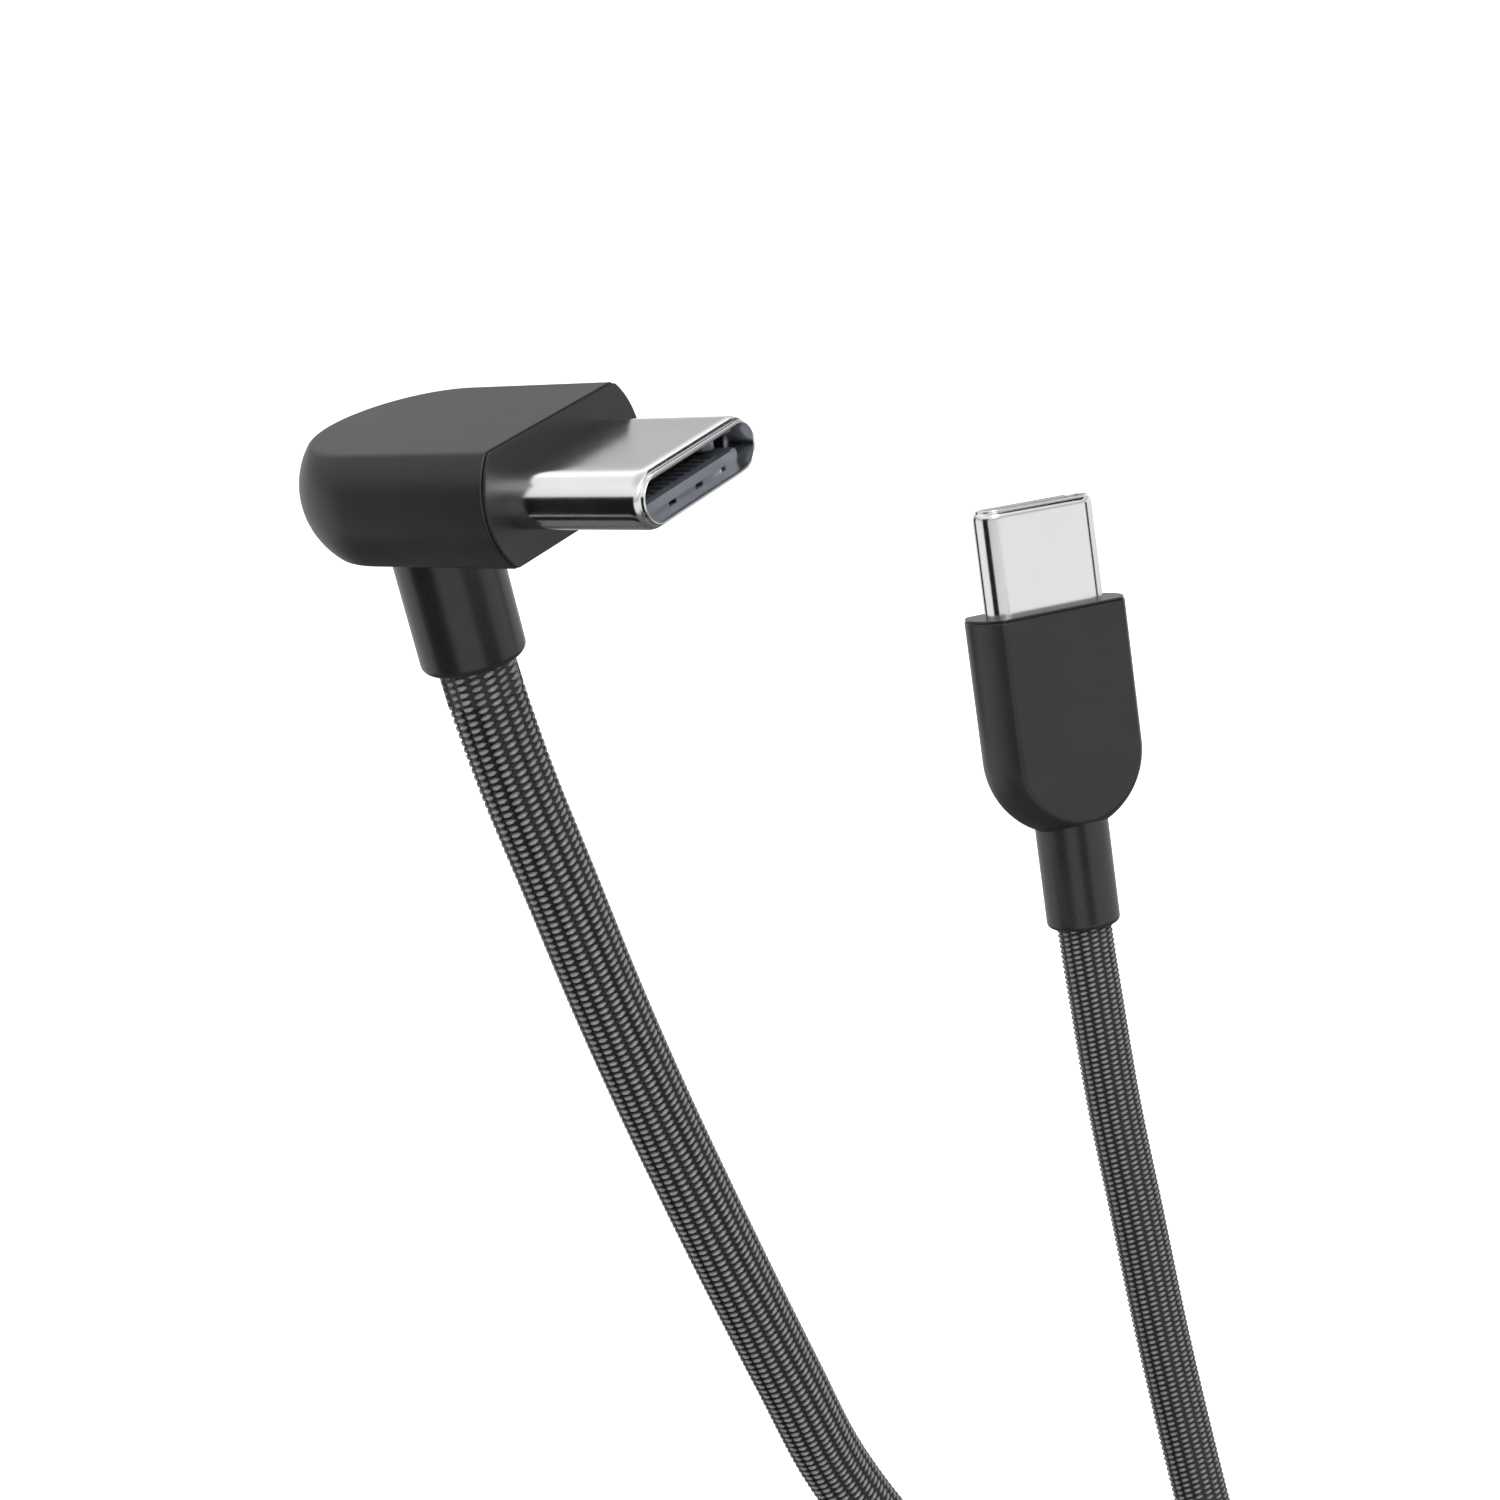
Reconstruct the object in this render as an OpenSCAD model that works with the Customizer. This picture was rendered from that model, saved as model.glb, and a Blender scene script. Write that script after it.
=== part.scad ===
// Braided charging cable: a right-angle plug at one end, a straight plug at the other.
// The origin is the middle of the angled plug's front face.
// +X is the way the angled plug goes into a socket, +Y runs across it, +Z is up.
// Each plug is drawn in its own frame: +X out of the mouth, Y the width, Z the thickness.

/* [Connector] */
// Width of the steel plug shell
shell_w = 8.25; // [8.2:0.05:8.3]
// Thickness of the steel plug shell
shell_t = 2.4; // [2.35:0.05:2.45]
// Length of shell that stands out of the overmould
shell_reach = 6.65; // [6.4:0.05:6.8]
// Wall of the steel shell
shell_wall = 0.3; // [0.25:0.01:0.32]
// How far the contact carrier sits behind the shell's lip
carrier_recess = 1; // [0.8:0.1:1.2]
// Distance from one contact to the next
contact_pitch = 0.5; // [0.48:0.01:0.52]
// Inward reach of each side latch from the middle plane
latch_tip_y = 2.9; // [2.85:0.05:3]

/* [Overmould] */
// Width of both plug heads at their fullest
head_w = 10.6; // [10.5:0.1:11.4]
// Thickness of both plug heads
head_t = 4.9; // [4.8:0.1:5.6]
// Width of the flat panel on a head
head_flat_w = 8.6; // [8.5:0.1:8.8]
// Length of the angled plug's head
angled_head_l = 13; // [12.8:0.1:13.4]
// Length of the straight plug's head
straight_head_l = 14.6; // [14.4:0.1:15.2]
// Thickness of the front plate
plate_t = 0.3; // [0.2:0.1:0.4]

/* [Strain relief] */
// Outer diameter of the strain relief sleeve
sleeve_d = 4.7; // [4.5:0.1:4.8]
// Length of sleeve that shows below the head
sleeve_l = 6.05; // [5.5:0.05:7]

/* [Cord] */
// Diameter of the braided cord
cord_d = 3.5; // [3.4:0.05:3.6]
// Mean radius of the coil, at the middle of its turns
coil_r = 18.5; // [18.4:0.1:18.6]
// Height between the lowest and the highest turn
coil_rise = 12; // [11.8:0.1:12.4]

/* [Cable tie] */
// Width of the strap round the coil
tie_w = 10; // [8:0.5:12]
// Thickness of the strap
tie_t = 1; // [0.8:0.1:1.2]
// Direction of the strap as seen from the coil's middle
tie_angle = 200; // [190:5:230]

/* [Hidden] */
$fn = 48;

// Connector, along the plug's own X
core_back = -3.6;
mouth_x = shell_reach - carrier_recess;
lip_r = shell_wall / 2;
bore_w = shell_w - 2 * shell_wall;
bore_t = shell_t - 2 * shell_wall;
slot_w = 6.9;
slot_t = 0.8;
slot_back = 0.9;
contact_count = 12;
contact_w = 0.25;
contact_t = 0.15;
groove_w = 0.32;
groove_low = 0.3;
groove_top = 0.7;
latch_t = 0.25;
latch_h = 0.5;
latch_y = 3.2;
latch_back = -3;
latch_front = 4.9;
channel_y = 2.7;
channel_h = 0.7;
spring_w = 5.8;
spring_t = 0.1;
spring_back = mouth_x - 1.7;
spring_root = mouth_x - 1.1;
finger_w = 1.4;
finger_y = [-1.9, 0, 1.9];
contact_z = 0.22;

// Shield can and board
can_w = 8.9;
can_t = 3.6;
can_wall = 0.2;
can_front = -0.8;
card_t = 0.6;
card_front = core_back - 0.1;
card_w = can_w - 2 * can_wall;
angled_can_back = -6.6;
straight_can_back = -8;
angled_card_back = -6.4;
straight_card_back = -7.8;
chip_size = [0.85, 1.5, 0.45];
chip_at = [-5.55, -2.2, card_t / 2];
passive_size = [0.5, 0.3, 0.25];
passive_x = -5.4;
passive_y = [0.2, 1.2, 2.2, 3.2];

// Overmould
head_bulge = (head_w - head_flat_w) / 2;
side_r = (head_t * head_t / 4 + head_bulge * head_bulge) / (2 * head_bulge);
side_y = head_w / 2 - side_r;
angled_turn_x = -(angled_head_l - head_w / 2);
straight_turn_x = -(straight_head_l - head_w / 2);

// Strain relief and crimp
sleeve_r = sleeve_d / 2;
cord_r = cord_d / 2;
crimp_r = cord_r + 0.25;
crimp_l = 1.6;
flange_r = 2.9;
flange_t = 0.6;
mould_r = 3.6;
mould_wall = 0.7;
angled_sleeve_end = -head_t / 2 - sleeve_l;
straight_sleeve_end = -straight_head_l - sleeve_l;
straight_neck_x = -14;
straight_flange_x = -11.9;
neck_r = 1.8;
neck_bore_r = 1.2;
sleeve_cap = 0.4;
straight_flange_w = 4.6;
straight_mould_w = 6.9;

// Wires
wire_r = 0.25;
wire_z = card_t / 2 + wire_r;
wire_pads = [-2.4, -0.8, 0.8, 2.4];
wire_bundle = [-0.78, -0.26, 0.26, 0.78];
bundle_z = 0.26;

// Straight plug: where its front face stands and how it is turned
straight_at = [-9, 52.3, -28.2];
straight_turn = [39, -75.9, 109.5];
plug_way = [cos(straight_turn[1]) * cos(straight_turn[2]),
            cos(straight_turn[1]) * sin(straight_turn[2]), -sin(straight_turn[1])];

// Coil: it stands on the floor below the two plugs
coil_at = [-7.5, 13];
coil_top_z = -99;
inner_r = coil_r - cord_r;
outer_r = coil_r + cord_r;
coil_low_z = coil_top_z - coil_rise - cord_r;
coil_high_z = coil_top_z + cord_r;
coil_hole_r = inner_r - cord_r;
coil_edge_r = outer_r + cord_r;
strap_near_r = sqrt(coil_hole_r * coil_hole_r - tie_w * tie_w / 4);

// Fixed directions from which a swept ring starts, never in line with the route
cord_side = [1, 0.2, 0.1];
wire_side = [0, 1, 0.3];

// Cord from inside the angled plug's sleeve down to the top of the coil's inner column
angled_route = [
    [-7.7, 0, -2], [-7.7, 0, -8.5], [-7.3, 0.1, -14], [-6.8, 0.6, -20], [-6.4, 1.2, -26],
    [-5.9, 1.9, -32], [-5.2, 2.6, -38], [-4.5, 3.4, -44], [-3.7, 4.2, -50],
    [-2.9, 5.1, -56], [-1.2, 6.1, -61.3], [1.1, 7.4, -66.3], [3.6, 8.8, -71.3],
    [6, 10.4, -76.2], [8.1, 12.3, -81.1], [9.7, 14.6, -86], [10.3, 17.4, -90.9],
    [8.9, 20.9, -95.1], [5.5, 24.4, -97.9], [0.9, 27.5, -99]];

// Cord from the coil's outer column up into the straight plug's sleeve
straight_route = [
    [10, 23.1, -99], [7.2, 27.8, -98.1], [4.5, 31.6, -95.2], [2.4, 34.4, -90.9],
    [0.7, 36.3, -86], [-0.9, 38.2, -81], [-2.8, 40.6, -74], [-4.3, 42.7, -67],
    [-5.7, 44.6, -60], [-6.7, 46.35, -53],
    straight_at + straight_sleeve_end * plug_way, straight_at + straight_neck_x * plug_way];

// ---------- frames ----------

module at_straight() {
    translate(straight_at) rotate(straight_turn) children();
}

// Extrude an outline drawn in the plug's Y and Z from one X to another
module along_x(from, to) {
    translate([from, 0, 0]) rotate([90, 0, 90]) linear_extrude(to - from) children();
}

// Extrude an outline drawn in X and Z by a thickness centred on Y
module across_y(width) {
    translate([0, width / 2, 0]) rotate([90, 0, 0]) linear_extrude(width) children();
}

module block_x(from, to, w, t) {
    translate([from, -w / 2, -t / 2]) cube([to - from, w, t]);
}

module rod_x(from, to, r) {
    translate([from, 0, 0]) rotate([0, 90, 0]) cylinder(r = r, h = to - from);
}

module rod_z(from, to, r) {
    translate([angled_turn_x, 0, from]) cylinder(r = r, h = to - from);
}

// ---------- round tubes along a route ----------

function unit(v) = v / norm(v);
function way(route, i) = unit(route[min(i + 1, len(route) - 1)] - route[max(i - 1, 0)]);
function across(v, side) = unit(side - (side * v) * v);

// Ring of points square to the route at one of its points. It starts from the side
// direction made square to the route, so the rings hardly twist.
function ring(route, i, r, side, sides) =
    let (v = way(route, i), a = across(v, side), b = cross(v, a))
    [for (k = [0 : sides - 1])
        route[i] + r * (cos(360 * k / sides) * a + sin(360 * k / sides) * b)];

module swept(route, r, side, sides = 8) {
    last = len(route) - 1;
    polyhedron(
        points = [for (i = [0 : last]) each ring(route, i, r, side, sides)],
        faces = concat(
            [[for (k = [0 : sides - 1]) k]],
            [for (i = [0 : last - 1], k = [0 : sides - 1])
                [i * sides + k, (i + 1) * sides + k, (i + 1) * sides + (k + 1) % sides]],
            [for (i = [0 : last - 1], k = [0 : sides - 1])
                [i * sides + k, (i + 1) * sides + (k + 1) % sides, i * sides + (k + 1) % sides]],
            [[for (k = [sides - 1 : -1 : 0]) last * sides + k]]));
}

// ---------- outlines ----------

module stadium(w, t) {
    square([w - t, t], center = true);
    translate([w / 2 - t / 2, 0]) circle(d = t);
    translate([t / 2 - w / 2, 0]) circle(d = t);
}

// Head section: flat panels above and below, sides that bow outwards
module head_section() {
    intersection() {
        square([head_w, head_t], center = true);
        union() {
            square([2 * side_y, 2 * side_r], center = true);
            translate([side_y, 0]) circle(r = side_r, $fn = 96);
            translate([-side_y, 0]) circle(r = side_r, $fn = 96);
        }
    }
}

module half_head_section() {
    intersection() {
        translate([0, -head_t / 2]) square([head_w / 2, head_t]);
        union() {
            translate([0, -side_r]) square([side_y, 2 * side_r]);
            translate([side_y, 0]) circle(r = side_r, $fn = 96);
        }
    }
}

// ---------- connector pieces, in the plug's own frame ----------

// Rounded lip: a bar along each long side and a half ring round each end
module shell_lip() {
    lip_x = shell_reach - lip_r;
    centre_y = (shell_w - shell_t) / 2;
    ring_r = shell_t / 2 - lip_r;
    for (turn = [0, 180])
        rotate([turn, 0, 0]) {
            translate([lip_x, 0, ring_r])
                rotate([90, 0, 0]) cylinder(r = lip_r, h = 2 * centre_y, center = true);
            translate([lip_x, centre_y, 0])
                rotate([0, 90, 0])
                    rotate_extrude(angle = 180) translate([ring_r, 0]) circle(r = lip_r);
        }
}

module shell() {
    color("gainsboro") {
        along_x(core_back, shell_reach - lip_r)
            difference() {
                stadium(shell_w, shell_t);
                stadium(bore_w, bore_t);
            }
        shell_lip();
    }
}

module insulator() {
    color("dimgray")
        difference() {
            along_x(core_back, mouth_x) stadium(bore_w, bore_t);
            block_x(slot_back, shell_reach, slot_w, slot_t);
            for (side = [-1, 1]) {
                // room for a side latch to part
                translate([core_back - 1, side > 0 ? channel_y : -bore_w / 2 - 1, -channel_h / 2])
                    cube([shell_reach - core_back, bore_w / 2 + 1 - channel_y, channel_h]);
                // seat of an earthing spring
                translate([spring_back, -spring_w / 2, side > 0 ? bore_t / 2 - spring_t : -bore_t])
                    cube([shell_reach - spring_back, spring_w, bore_t / 2 + spring_t]);
                for (i = [0 : contact_count - 1])
                    translate([core_back - 1, contact_y(i) - groove_w / 2,
                               side > 0 ? groove_low : -groove_top])
                        cube([mouth_x - core_back + 0.5, groove_w, groove_top - groove_low]);
            }
        }
}

function contact_y(i) = (i - (contact_count - 1) / 2) * contact_pitch;

// One spring contact: tail on the board, straight beam, raised touching point, upturned tip
module contact_strip() {
    low = groove_top - contact_t;
    across_y(contact_w)
        polygon([
            [card_front - 0.8, card_t / 2], [card_front, card_t / 2],
            [core_back + 0.5, low], [1.7, low], [3.6, contact_z], [3.9, contact_z],
            [4.3, contact_z + 0.14], [4.2, contact_z + 0.14 + contact_t],
            [3.75, contact_z + contact_t], [1.8, groove_top],
            [core_back + 0.4, groove_top], [card_front - 0.1, card_t / 2 + contact_t],
            [card_front - 0.8, card_t / 2 + contact_t]]);
}

module contacts(side) {
    color("gold")
        for (i = [0 : contact_count - 1])
            translate([0, contact_y(i), 0])
                rotate([side > 0 ? 0 : 180, 0, 0])
                    contact_strip();
}

// Side latch blade: a straight spring with a rounded catch at its tip
module latch(side) {
    color("silver")
        translate([0, 0, -latch_h / 2])
            linear_extrude(latch_h)
                on_side(side)
                    polygon([
                        [latch_back, latch_y], [3.4, latch_y], [4, latch_tip_y + 0.05],
                        [4.3, latch_tip_y], [4.6, latch_tip_y + 0.1], [latch_front, latch_y],
                        [latch_front, latch_y + latch_t], [latch_back, latch_y + latch_t]]);
}

// Draw on the +Y side, or its mirror image on the -Y side
module on_side(side) {
    if (side > 0) children();
    else mirror([0, 1, 0]) children();
}

// Thin plate on the carrier, cut into three fingers behind the mouth
module ground_spring() {
    level = bore_t / 2 - spring_t;
    translate([spring_back, -spring_w / 2, level])
        cube([spring_root - spring_back, spring_w, spring_t]);
    for (y = finger_y)
        translate([spring_root, y - finger_w / 2, level])
            cube([mouth_x - spring_root, finger_w, spring_t]);
}

module ground_springs() {
    color("lightsteelblue") {
        ground_spring();
        rotate([180, 0, 0]) ground_spring();
    }
}

module paddle_card(back) {
    color("seagreen") block_x(back, card_front, card_w, card_t);
}

// Folded can, open behind, whose front wall fits round the plug shell
module shield_can(back) {
    color("silver")
        difference() {
            block_x(back, can_front, can_w, can_t);
            block_x(back - 1, can_front - can_wall, can_w - 2 * can_wall, can_t - 2 * can_wall);
            along_x(can_front - 1, can_front + 1) stadium(shell_w, shell_t);
        }
}

// Insulated conductor through a list of points
module wire(points) {
    swept(points, wire_r, wire_side);
}

// ---------- overmould pieces, in the plug's own frame ----------

module front_plate() {
    color("#3a3a3c")
        difference() {
            along_x(-plate_t, 0) head_section();
            along_x(-1, 1) stadium(shell_w, shell_t);
        }
}

// Outside of a head: straight from the front plate back, then a half round at its rear
module head_outside(turn_x) {
    along_x(turn_x, -plate_t) head_section();
    translate([turn_x, 0, 0]) rotate_extrude($fn = 96) half_head_section();
}

// ---------- angled plug ----------

module angled_inner_mould() {
    color("ivory")
        difference() {
            rod_z(flange_t - can_t / 2, can_t / 2, mould_r);
            rod_z(-can_t, can_t / 2 - mould_wall, mould_r - mould_wall);
            block_x(angled_can_back, 0, 3 * mould_r, 2 * can_t);
        }
}

module angled_wires() {
    color("crimson")
        for (i = [0 : len(wire_pads) - 1])
            for (side = [-1, 1]) {
                down_x = angled_turn_x - side * bundle_z;
                wire([
                    [angled_card_back + 0.6, wire_pads[i], side * wire_z],
                    [down_x, wire_bundle[i], side * wire_z],
                    [down_x, wire_bundle[i], angled_route[0][2]]]);
            }
}

module angled_crimp_ring() {
    color("silver")
        difference() {
            rod_z(-can_t / 2 - crimp_l, -can_t / 2, crimp_r);
            rod_z(-can_t, 0, cord_r);
        }
}

module angled_strain_relief() {
    color("#2c2c2e")
        difference() {
            union() {
                rod_z(angled_sleeve_end, -can_t / 2, sleeve_r);
                rod_z(-can_t / 2, flange_t - can_t / 2, flange_r);
            }
            rod_z(angled_sleeve_end - 1, 0, cord_r);
            rod_z(-can_t / 2 - crimp_l, 0, crimp_r);
            block_x(angled_can_back, 0, 3 * flange_r, can_t);
        }
}

module angled_housing() {
    color("#3a3a3c")
        difference() {
            head_outside(angled_turn_x);
            block_x(angled_can_back, can_front, can_w, can_t);
            rod_z(-can_t / 2, can_t / 2, mould_r);
            rod_z(-head_t, 0, sleeve_r);
            along_x(can_front - 1, 1) stadium(shell_w, shell_t);
        }
}

module identity_chip() {
    color("black") translate(chip_at) cube(chip_size);
}

module board_passives() {
    color("tan")
        for (y = passive_y)
            translate([passive_x, y, card_t / 2]) cube(passive_size);
}

// ---------- straight plug ----------

module straight_inner_mould() {
    color("ivory")
        difference() {
            block_x(straight_flange_x + flange_t, straight_can_back, straight_mould_w, can_t);
            block_x(straight_flange_x, 0, straight_mould_w - 2 * mould_wall, can_t - 2 * mould_wall);
        }
}

module straight_wires() {
    color("crimson")
        for (i = [0 : len(wire_pads) - 1])
            for (side = [-1, 1])
                wire([
                    [straight_card_back + 0.9, wire_pads[i], side * wire_z],
                    [straight_can_back - 0.4, wire_pads[i], side * wire_z],
                    [straight_flange_x - 0.2, wire_bundle[i], side * bundle_z],
                    [straight_neck_x, wire_bundle[i], side * bundle_z]]);
}

module straight_crimp_ring() {
    color("silver")
        difference() {
            rod_x(straight_neck_x - crimp_l, straight_neck_x, crimp_r);
            rod_x(straight_neck_x - 3, 0, cord_r);
        }
}

module straight_strain_relief() {
    color("#2c2c2e")
        difference() {
            union() {
                rod_x(straight_sleeve_end, straight_neck_x + sleeve_cap, sleeve_r);
                rod_x(straight_neck_x, straight_flange_x, neck_r);
                block_x(straight_flange_x, straight_flange_x + flange_t, straight_flange_w, can_t);
            }
            rod_x(straight_sleeve_end - 1, straight_neck_x, cord_r);
            rod_x(straight_neck_x - crimp_l, straight_neck_x, crimp_r);
            rod_x(straight_neck_x - 1, 0, neck_bore_r);
        }
}

module straight_housing() {
    color("#3a3a3c")
        difference() {
            head_outside(straight_turn_x);
            block_x(straight_can_back, can_front, can_w, can_t);
            block_x(straight_flange_x, straight_can_back, straight_mould_w, can_t);
            rod_x(straight_neck_x - 5, straight_neck_x + sleeve_cap, sleeve_r);
            rod_x(straight_neck_x, straight_flange_x, neck_r);
            along_x(can_front - 1, 1) stadium(shell_w, shell_t);
        }
}

// ---------- cord ----------

module cord_angled_run() {
    color("#262628") swept(angled_route, cord_r, cord_side);
}

module cord_straight_run() {
    color("#262628") swept(straight_route, cord_r, cord_side);
}

// Block across the coil where the strap goes, from its inner side to its outer side
module strap_block(grow, width, low_z, high_z) {
    translate([coil_at[0], coil_at[1], low_z])
        rotate([0, 0, tie_angle])
            translate([strap_near_r - grow, -width / 2, 0])
                cube([coil_edge_r - strap_near_r + 2 * grow, width, high_z - low_z]);
}

// Outer shape of the coil's two columns of turns. The strap draws the lowest turns up,
// so its underside is level with the coil's.
module cord_coil() {
    color("#262628")
        difference() {
            translate([coil_at[0], coil_at[1], 0])
                rotate_extrude($fn = 120)
                    translate([coil_hole_r, coil_low_z])
                        square([coil_edge_r - coil_hole_r, coil_high_z - coil_low_z]);
            strap_block(2 * tie_t, tie_w, coil_low_z - 1, coil_low_z + tie_t);
        }
}

module cable_tie() {
    color("#1c1c1e")
        difference() {
            strap_block(tie_t, tie_w, coil_low_z, coil_high_z + tie_t);
            strap_block(0, tie_w + 2, coil_low_z + tie_t, coil_high_z);
        }
}

// ---------- nodes ----------

shell();  // angled_shell
insulator();  // angled_insulator
contacts(1);  // angled_upper_contacts
contacts(-1);  // angled_lower_contacts
latch(1);  // angled_latch_left
latch(-1);  // angled_latch_right
ground_springs();  // angled_ground_springs
paddle_card(angled_card_back);  // angled_paddle_card
shield_can(angled_can_back);  // angled_shield_can
angled_inner_mould();
angled_wires();
angled_crimp_ring();
angled_housing();
front_plate();  // angled_front_plate
angled_strain_relief();
identity_chip();
board_passives();
at_straight() shell();  // straight_shell
at_straight() insulator();  // straight_insulator
at_straight() contacts(1);  // straight_upper_contacts
at_straight() contacts(-1);  // straight_lower_contacts
at_straight() latch(1);  // straight_latch_left
at_straight() latch(-1);  // straight_latch_right
at_straight() ground_springs();  // straight_ground_springs
at_straight() paddle_card(straight_card_back);  // straight_paddle_card
at_straight() shield_can(straight_can_back);  // straight_shield_can
at_straight() straight_inner_mould();
at_straight() straight_wires();
at_straight() straight_crimp_ring();
at_straight() straight_housing();
at_straight() front_plate();  // straight_front_plate
at_straight() straight_strain_relief();
cord_angled_run();
cord_coil();
cord_straight_run();
cable_tie();
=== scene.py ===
"""Braided charging cable with an angled and a straight plug: the looks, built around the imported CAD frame.

Shapes are worked out in millimetres, in the frame of the CAD part or of one plug, and turned into metres
when a mesh is made. Each plug's own frame has +X out of the mouth, Y the width and Z the thickness, as in
the CAD source. The stage is in metres.
"""
import math
import bmesh
import bpy
import numpy as np
from mathutils import Matrix, Vector


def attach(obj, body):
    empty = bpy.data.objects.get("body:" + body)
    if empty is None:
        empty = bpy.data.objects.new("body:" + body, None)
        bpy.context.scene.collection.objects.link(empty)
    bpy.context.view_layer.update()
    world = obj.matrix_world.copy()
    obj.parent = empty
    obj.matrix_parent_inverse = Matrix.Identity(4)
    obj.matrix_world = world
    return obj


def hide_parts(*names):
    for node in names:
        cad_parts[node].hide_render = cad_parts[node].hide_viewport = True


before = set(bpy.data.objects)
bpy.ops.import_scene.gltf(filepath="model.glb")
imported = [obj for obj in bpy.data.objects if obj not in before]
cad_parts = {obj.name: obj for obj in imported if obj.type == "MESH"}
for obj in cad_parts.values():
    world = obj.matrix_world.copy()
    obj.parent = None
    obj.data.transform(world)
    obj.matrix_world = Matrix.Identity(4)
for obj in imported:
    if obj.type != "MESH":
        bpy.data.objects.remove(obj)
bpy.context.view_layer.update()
MM = 0.001

# ---------- sizes shared with the CAD source, in mm ----------
SHELL_W, SHELL_T, SHELL_REACH, SHELL_WALL = 8.25, 2.4, 6.65, 0.3
HEAD_W, HEAD_T, PANEL_W = 10.6, 4.9, 8.6
BULGE = (HEAD_W - PANEL_W) / 2
SIDE_R = (HEAD_T ** 2 / 4 + BULGE ** 2) / (2 * BULGE)
SIDE_Y = HEAD_W / 2 - SIDE_R
ANGLED_TURN_X, STRAIGHT_TURN_X = -7.7, -9.3
SLEEVE_R, CORD_D = 2.35, 3.5
CORD_R = CORD_D / 2
ANGLED_SLEEVE_END, STRAIGHT_SLEEVE_END = -8.5, -20.65
STRAIGHT_AT, STRAIGHT_TURN = (-9, 52.3, -28.2), (39, -75.9, 109.5)
COIL_AT, COIL_TOP_Z, COIL_RISE = (-7.5, 13), -99, 12
INNER_R, OUTER_R = 16.75, 20.25
COIL_LOW_Z, COIL_HIGH_Z = COIL_TOP_Z - COIL_RISE - CORD_R, COIL_TOP_Z + CORD_R
TIE_W, TIE_T, TIE_ANGLE = 10, 1, 200
FLOOR_Z = COIL_LOW_Z

ANGLED_ROUTE = [
    (-7.7, 0, -2), (-7.7, 0, -8.5), (-7.3, 0.1, -14), (-6.8, 0.6, -20), (-6.4, 1.2, -26),
    (-5.9, 1.9, -32), (-5.2, 2.6, -38), (-4.5, 3.4, -44), (-3.7, 4.2, -50), (-2.9, 5.1, -56),
    (-1.2, 6.1, -61.3), (1.1, 7.4, -66.3), (3.6, 8.8, -71.3), (6, 10.4, -76.2), (8.1, 12.3, -81.1),
    (9.7, 14.6, -86), (10.3, 17.4, -90.9), (8.9, 20.9, -95.1), (5.5, 24.4, -97.9), (0.9, 27.5, -99)]
STRAIGHT_ROUTE = [
    (10, 23.1, -99), (7.2, 27.8, -98.1), (4.5, 31.6, -95.2), (2.4, 34.4, -90.9), (0.7, 36.3, -86),
    (-0.9, 38.2, -81), (-2.8, 40.6, -74), (-4.3, 42.7, -67), (-5.7, 44.6, -60), (-6.7, 46.35, -53)]
COIL_START, COIL_END = 60, 30


def turned(angles):
    x, y, z = (math.radians(a) for a in angles)
    return Matrix.Rotation(z, 4, "Z") @ Matrix.Rotation(y, 4, "Y") @ Matrix.Rotation(x, 4, "X")


PLUGS = {"angled": Matrix.Identity(4), "straight": Matrix.Translation(STRAIGHT_AT) @ turned(STRAIGHT_TURN)}


# ---------- camera, stage and lights ----------

def make_camera():
    data = bpy.data.cameras.new("camera")
    data.lens, data.sensor_width, data.sensor_fit = 57.6, 36, "HORIZONTAL"
    data.clip_start, data.clip_end = 0.002, 50
    data.dof.use_dof = False
    cam = bpy.data.objects.new("camera", data)
    bpy.context.scene.collection.objects.link(cam)
    axes = Matrix(((0.8252, 0.5268, -0.2038), (-0.0551, 0.4341, 0.8992), (0.5621, -0.7308, 0.3872)))
    cam.rotation_mode = "QUATERNION"
    cam.location = (0.06114, -0.07177, 0.02597)
    cam.rotation_quaternion = axes.transposed().to_quaternion()
    bpy.context.scene.camera = cam


STAGE_MIDDLE, LIGHT_TARGET = Vector((-0.005, 0.02, 0)), Vector((-0.005, 0.02, -0.03))
FLOOR_HALF, FLOOR_WHITE, FLOOR_GLOW = 12, 0.8, 0.8
FLAG_BLACK = 0.004
# The world's tone by elevation in degrees: dark below, bright round the horizon and overhead.
SKY_TONES = [(-90, 0.10), (-36, 0.17), (-26, 0.72), (-6, 0.86), (4, 0.86), (14, 0.40), (24, 0.8), (50, 0.92),
             (90, 0.6)]
SKY_TINT = (0.985, 0.992, 1)
# Softboxes: azimuth, elevation, distance, width, height, watts.
SOFTBOXES = {"light_key": (-20, 42, 0.45, 0.3, 0.2, 0.9), "light_behind": (128, 42, 0.6, 0.6, 0.2, 0.12)}
# Dark cards that shape the reflections: place, turn about Z, half width, half height.
FLAGS = {
    "flag_left": ((-0.035, -0.06, -0.01), 90, 0.035, 0.040),
    "flag_low_left": ((-0.07, -0.06, -0.096), 90, 0.055, 0.034),
    "flag_right": ((0.072, -0.012, -0.0425), 0, 0.028, 0.0175),
    "flag_straight_lip": ((0.025, 0.098, 0.035), 50, 0.040, 0.022),
    "flag_straight_left": ((-0.067, 0.052, -0.032), 0, 0.011, 0.02),
    "flag_straight_right": ((0.046, 0.081, -0.031), 27, 0.008, 0.012),
    "flag_rear": ((0.035, 0.11, 0.10), 68, 0.06, 0.026),
}


def toward(azimuth, elevation, distance):
    a, e = math.radians(azimuth), math.radians(elevation)
    way = Vector((math.cos(a) * math.cos(e), math.sin(a) * math.cos(e), math.sin(e)))
    return way * distance + STAGE_MIDDLE


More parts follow.
